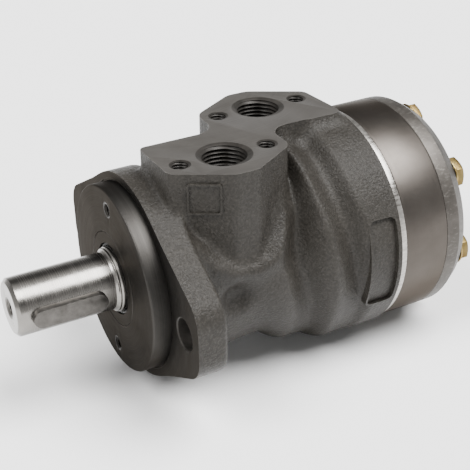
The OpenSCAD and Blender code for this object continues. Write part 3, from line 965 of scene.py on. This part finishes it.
def cast_look():
    """Phosphated grey iron with its sand skin: fine grains, low lumps and faint stains."""
    look = Look("cast_iron_skin", metallic=0.0, specular=0.2)
    grain = look.noise(1.05, 3, 0.6)
    fine = look.noise(0.6, 2, 0.5)
    lumps = look.noise(7, 3, 0.5)
    stain = look.noise(26, 4, 0.6)
    base = look.blend(look.fit(stain, 0.35, 0.65), (0.0145, 0.0127, 0.0102), (0.0205, 0.0183, 0.0152))
    base = look.blend(look.fit(grain, 0.45, 0.70, 0, 0.35), base, (0.058, 0.053, 0.047))
    base = look.blend(look.fit(grain, 0.44, 0.28, 0, 0.5), base, (0.013, 0.0118, 0.0102))
    rough = look.calc("ADD", look.spread(fine, 0.36, 0.52), look.spread(stain, -0.03, 0.05))
    height = look.calc("ADD", grain, look.calc("MULTIPLY", fine, 0.3))
    normal = look.bump(lumps, 0.8, 0.6)
    return look.finish(base, rough, look.bump(height, 0.42, 1.0, normal))


def faced_look(name):
    """Turned and phosphated: rings, a fine etched grain, and edges rubbed a little brighter."""
    look = Look(name, metallic=1.0)
    look.shader.inputs["Specular Tint"].default_value = (0.42, 0.41, 0.40, 1)
    rings = look.turned(0.55, 2)
    broad = look.turned(4.0, 1)
    grain = look.noise(0.6, 2)
    stain = look.noise(18, 4, 0.6)
    base = look.between(stain, (0.032, 0.0302, 0.028), (0.046, 0.0436, 0.0405))
    base = look.blend(look.fit(rings, 0.35, 0.7, 0, 0.30), base, (0.066, 0.0625, 0.058))
    wear = look.worn(0.45, 3.0, 0.35)
    base = look.blend(look.calc("MULTIPLY", wear, 0.6), base, (0.30, 0.285, 0.265))
    rough = look.calc("ADD", look.spread(rings, 0.40, 0.50), look.spread(broad, -0.02, 0.04))
    normal = look.bump(rings, 0.035, 0.7)
    return look.finish(base, rough, look.bump(grain, 0.05, 0.5, normal))


def milled_look():
    """Port face: fly-cut marks as wide arcs, phosphated, with rubbed edges."""
    look = Look("milled_port_face", metallic=0.0, specular=0.25)
    far = look.calc("ADD", look.y, 0.06)
    dx = look.calc("ADD", look.x, 0.05)
    squares = look.calc("ADD", look.calc("MULTIPLY", far, far), look.calc("MULTIPLY", dx, dx))
    arc = look.calc("SQRT", squares)
    marks = look.lines(arc, 0.7, 2)
    grain = look.noise(0.6, 2)
    stain = look.noise(16, 4, 0.6)
    base = look.between(stain, (0.030, 0.0275, 0.0248), (0.043, 0.040, 0.0365))
    base = look.blend(look.fit(marks, 0.4, 0.7, 0, 0.35), base, (0.07, 0.066, 0.06))
    wear = look.worn(0.4, 3.0, 0.35)
    base = look.blend(look.calc("MULTIPLY", wear, 0.5), base, (0.30, 0.285, 0.265))
    rough = look.spread(marks, 0.34, 0.46)
    normal = look.bump(marks, 0.03, 0.6)
    return look.finish(base, rough, look.bump(grain, 0.05, 0.5, normal))


def bore_look():
    """Oiled bores and threads."""
    look = Look("oiled_bore", metallic=0.2, specular=0.15)
    marks = look.noise(0.5, 2)
    stain = look.noise(6, 3)
    base = look.between(stain, (0.012, 0.011, 0.0095), (0.030, 0.027, 0.024))
    return look.finish(base, look.spread(marks, 0.36, 0.50), look.bump(marks, 0.03, 0.5))


def ground_look():
    """Ground shaft steel: fine grinding bands and faint handling marks."""
    look = Look("ground_shaft_steel", metallic=1.0)
    bands = look.turned(0.35, 2)
    broad = look.turned(5.0, 1)
    smear = look.noise(14, 3, 0.5, stretch=(2.2, 1, 1))
    specks = look.noise(0.9, 2)
    base = look.between(smear, (0.195, 0.185, 0.171), (0.265, 0.253, 0.236))
    base = look.blend(look.fit(specks, 0.63, 0.72, 0, 0.25), base, (0.10, 0.094, 0.085))
    rough = look.calc("ADD", look.spread(bands, 0.21, 0.28), look.spread(broad, -0.02, 0.03))
    return look.finish(base, rough, look.bump(bands, 0.003, 0.3))


def keyway_look():
    look = Look("milled_keyway", metallic=1.0)
    marks = look.lines(look.x, 0.5, 2)
    base = look.between(marks, (0.09, 0.085, 0.078), (0.16, 0.152, 0.14))
    return look.finish(base, look.spread(marks, 0.30, 0.42), look.bump(marks, 0.02, 0.5))


def key_look():
    """Drawn key steel: duller than the shaft, with long draw marks and a mottled face."""
    look = Look("drawn_key_steel", metallic=1.0)
    draw = look.noise(0.5, 3, stretch=(16, 1, 1))
    mottle = look.noise(3.5, 4, 0.65)
    base = look.between(mottle, (0.065, 0.061, 0.056), (0.125, 0.118, 0.110))
    wear = look.edge(0.35)
    base = look.blend(look.calc("MULTIPLY", wear, 0.7), base, (0.26, 0.248, 0.23))
    rough = look.calc("ADD", look.spread(mottle, 0.34, 0.50), look.spread(draw, -0.04, 0.04))
    return look.finish(base, rough, look.bump(draw, 0.02, 0.6))


def plate_look():
    """Bright ground plate edge with cross-hatched scuffs."""
    look = Look("ground_plate_steel", metallic=1.0)
    scuff = look.noise(1.2, 4, 0.65, stretch=(3, 1, 1))
    patch = look.noise(9, 3)
    base = look.between(scuff, (0.26, 0.245, 0.225), (0.48, 0.46, 0.43))
    rough = look.calc("ADD", look.spread(scuff, 0.26, 0.40), look.spread(patch, -0.05, 0.05))
    return look.finish(base, rough, look.bump(scuff, 0.02, 0.5))


def ring_look():
    """Dark satin ring: very fine turning, slight tarnish, edges rubbed bright."""
    look = Look("dark_ring_steel", metallic=1.0)
    look.shader.inputs["Specular Tint"].default_value = (0.5, 0.48, 0.46, 1)
    rings = look.turned(0.5, 2)
    tarnish = look.noise(22, 4, 0.55)
    dust = look.noise(0.9, 2)
    base = look.between(tarnish, (0.070, 0.062, 0.055), (0.098, 0.088, 0.079))
    wear = look.worn(0.4, 2.5, 0.3)
    base = look.blend(look.calc("MULTIPLY", wear, 0.45), base, (0.24, 0.225, 0.205))
    rough = look.calc("ADD", look.spread(rings, 0.33, 0.41), look.spread(dust, -0.02, 0.03))
    return look.finish(base, rough, look.bump(rings, 0.012, 0.6))


def cover_look():
    """Rough-turned cover: a scuffed pale rim, a darker chamfer and a turned back."""
    look = Look("scuffed_cover_iron", metallic=0.7)
    scuff = look.noise(1.3, 5, 0.7, stretch=(2.5, 1, 1))
    rings = look.turned(0.9, 3)
    patch = look.noise(7, 4, 0.6)
    base = look.between(patch, (0.050, 0.0445, 0.039), (0.078, 0.071, 0.063))
    rim = look.calc("MULTIPLY", look.fit(look.x, COVER_REAR * MM + 0.0052, COVER_REAR * MM + 0.0058),
                    look.fit(scuff, 0.54, 0.72), clamp=True)
    base = look.blend(look.calc("MULTIPLY", rim, 0.5), base, (0.22, 0.207, 0.188))
    base = look.blend(look.fit(scuff, 0.42, 0.28, 0, 0.4), base, (0.026, 0.023, 0.020))
    wear = look.worn(0.5, 2.5, 0.3)
    base = look.blend(look.calc("MULTIPLY", wear, 0.45), base, (0.22, 0.207, 0.188))
    rough = look.spread(scuff, 0.36, 0.52)
    normal = look.bump(scuff, 0.10, 0.6)
    return look.finish(base, rough, look.bump(rings, 0.05, 0.6, normal))


def zinc_look(name, light):
    """Yellow-passivated zinc: gold with olive and rosy drifts, and grey where it's rubbed off. Every tone is
    scaled by light, so a low light gives a darker copy that is painted shade.
    """
    look = Look(name, metallic=1.0)
    tones = ((0.27, 0.185, 0.060), (0.40, 0.295, 0.115), (0.31, 0.165, 0.085), (0.19, 0.18, 0.075))
    shades = [tuple(light * channel for channel in tone) for tone in tones]
    drift = look.noise(5.0, 3, 0.5)
    second = look.noise(3.0, 3, 0.5)
    grain = look.noise(0.5, 2)
    base = look.between(drift, shades[0], shades[1])
    base = look.blend(look.fit(second, 0.52, 0.72, 0, 0.45), base, shades[2])
    base = look.blend(look.fit(second, 0.45, 0.28, 0, 0.4), base, shades[3])
    wear = look.calc("MULTIPLY", look.edge(0.3), look.fit(grain, 0.4, 0.6), clamp=True)
    base = look.blend(look.calc("MULTIPLY", wear, 0.6), base, (0.50, 0.44, 0.30))
    return look.finish(base, look.spread(grain, 0.30, 0.45), look.bump(grain, 0.03, 0.5))


def rubber_look():
    look = Look("seal_rubber_black", metallic=0.0, specular=0.4)
    grain = look.noise(0.5, 3)
    bloom = look.noise(6, 3)
    base = look.between(bloom, (0.012, 0.012, 0.012), (0.026, 0.025, 0.024))
    return look.finish(base, look.spread(grain, 0.48, 0.66), look.bump(grain, 0.03, 0.5))


def bearing_look():
    """Hardened and lapped steel with a light oil film."""
    look = Look("lapped_bearing_steel", metallic=1.0)
    lap = look.noise(0.6, 2)
    oil = look.noise(8, 3)
    base = look.between(oil, (0.50, 0.49, 0.47), (0.63, 0.62, 0.60))
    return look.finish(base, look.spread(lap, 0.14, 0.24), look.bump(lap, 0.006, 0.5))


def copper_look():
    look = Look("soft_copper", metallic=1.0)
    tarnish = look.noise(3, 4, 0.6)
    base = look.between(tarnish, (0.42, 0.17, 0.09), (0.72, 0.36, 0.22))
    return look.finish(base, look.spread(tarnish, 0.42, 0.28), look.bump(tarnish, 0.03, 0.5))


# ---------------------------------------------------------------- pieces on their bodies

CAST, FACED, MILLED, BORE = cast_look(), faced_look("phosphated_face"), milled_look(), bore_look()
GROUND, KEYWAY, KEY, PLATE, RING = ground_look(), keyway_look(), key_look(), plate_look(), ring_look()
COVER, RUBBER, BEARING, COPPER = cover_look(), rubber_look(), bearing_look(), copper_look()
# The second zinc is the same yellow zinc at half the brightness: painted shade for the screw heads, not a
# duller plating.
ZINC, SHADED_ZINC = zinc_look("yellow_zinc_plate", 0.85), zinc_look("zinc_plate_painted_shade", 0.42)
CARRIER = faced_look("phosphated_carrier")


def dress(obj, *materials):
    """Gives an object its materials, in the order of the indices its faces already have."""
    obj.data.materials.clear()
    for material in materials:
        obj.data.materials.append(material)


def stand_in(obj, node, body, slot, *materials):
    obj.name = node + "_look"
    index = np.zeros(len(obj.data.polygons), np.int32)
    obj.data.polygons.foreach_get("material_index", index)
    dress(obj, *materials)
    obj.data.polygons.foreach_set("material_index", np.minimum(index, len(materials) - 1))
    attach(obj, body)
    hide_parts(node)


stand_in(make_housing(), "housing", "root", "cast_iron", CAST, FACED, MILLED, BORE)
stand_in(make_carrier(), "seal_carrier", "root", "machined_steel", CARRIER)
stand_in(make_dust_seal(), "dust_seal", "root", "seal_rubber", RUBBER)
stand_in(make_shaft(), "output_shaft", "shaft", "ground_steel", GROUND, KEYWAY)
stand_in(make_key(), "parallel_key", "shaft", "key_steel", KEY)
stand_in(make_plate(), "channel_plate", "root", "plate_steel", PLATE)
stand_in(make_ring(), "gear_ring", "root", "ring_steel", RING)
stand_in(make_cover(), "end_cover", "root", "cover_iron", COVER)
# The screws take the half-bright zinc copy, which is painted shade.
stand_in(make_screws(), "cover_screws", "root", "yellow_zinc", SHADED_ZINC)
stand_in(make_washers(), "screw_washers", "root", "yellow_zinc", ZINC)
stand_in(make_drain_plug(), "drain_plug", "root", "yellow_zinc", ZINC)

INNER = {
    "seal_rubber": (RUBBER, "carrier_o_ring shaft_seal housing_o_ring ring_front_o_ring ring_rear_o_ring"),
    "bearing_steel": (BEARING, "front_thrust_race rear_thrust_race thrust_cage thrust_needles cardan_shaft "
                      "cardan_spacer rotor check_ball_1 check_ball_2 "
                      + " ".join(f"roller_{k}" for k in range(1, 8))),
    "washer_copper": (COPPER, "drain_washer"),
}
for slot_name, (look_of, nodes) in INNER.items():
    for node in nodes.split():
        kept = frame["nodes"][node]
        dress(kept, look_of)


# ---------------------------------------------------------------- stage

def make_stage():
    size = 20.0
    mesh = bpy.data.meshes.new("floor")
    mesh.from_pydata([(-size, -size, FLOOR_Z), (size, -size, FLOOR_Z), (size, size, FLOOR_Z),
                      (-size, size, FLOOR_Z)], [], [(0, 1, 2, 3)])
    floor = bpy.data.objects.new("floor", mesh)
    bpy.context.scene.collection.objects.link(floor)
    material = bpy.data.materials.new("floor_white")
    material.use_nodes = True
    shader = material.node_tree.nodes["Principled BSDF"]
    shader.inputs["Base Color"].default_value = (0.9, 0.9, 0.9, 1)
    shader.inputs["Roughness"].default_value = 0.9
    shader.inputs["Specular IOR Level"].default_value = 0.2
    mesh.materials.append(material)


def make_world():
    """A plain studio: a white backdrop, darker walls above it and a pale ceiling."""
    world = bpy.data.worlds.new("studio")
    world.use_nodes = True
    nodes, links = world.node_tree.nodes, world.node_tree.links
    coord = nodes.new("ShaderNodeTexCoord")
    split = nodes.new("ShaderNodeSeparateXYZ")
    links.new(coord.outputs["Generated"], split.inputs[0])
    ramp = nodes.new("ShaderNodeValToRGB")
    links.new(split.outputs[2], ramp.inputs[0])
    for at, level in ((0.0, 0.85), (0.30, 0.70), (0.52, 0.12), (0.80, 0.12), (1.0, 1.1)):
        stop = ramp.color_ramp.elements.new(at)
        stop.color = (level, level, level, 1)
    ramp.color_ramp.elements.remove(ramp.color_ramp.elements[0])
    ramp.color_ramp.elements.remove(ramp.color_ramp.elements[-1])
    back = nodes["Background"]
    links.new(ramp.outputs[0], back.inputs["Color"])
    back.inputs["Strength"].default_value = 1.0
    bpy.context.scene.world = world


def soft_sun(name, direction, angle, strength):
    """A wide, even studio light that shines from the given direction."""
    data = bpy.data.lights.new(name, "SUN")
    data.angle = math.radians(angle)
    data.energy = strength
    light = bpy.data.objects.new(name, data)
    bpy.context.scene.collection.objects.link(light)
    light.rotation_euler = Vector(direction).to_track_quat("Z", "Y").to_euler()


make_stage()
make_world()
soft_sun("overhead", (-0.34, 0.30, 0.89), 40, 7.5)
soft_sun("front_left", (0.60, 0.10, 0.79), 30, 4.5)
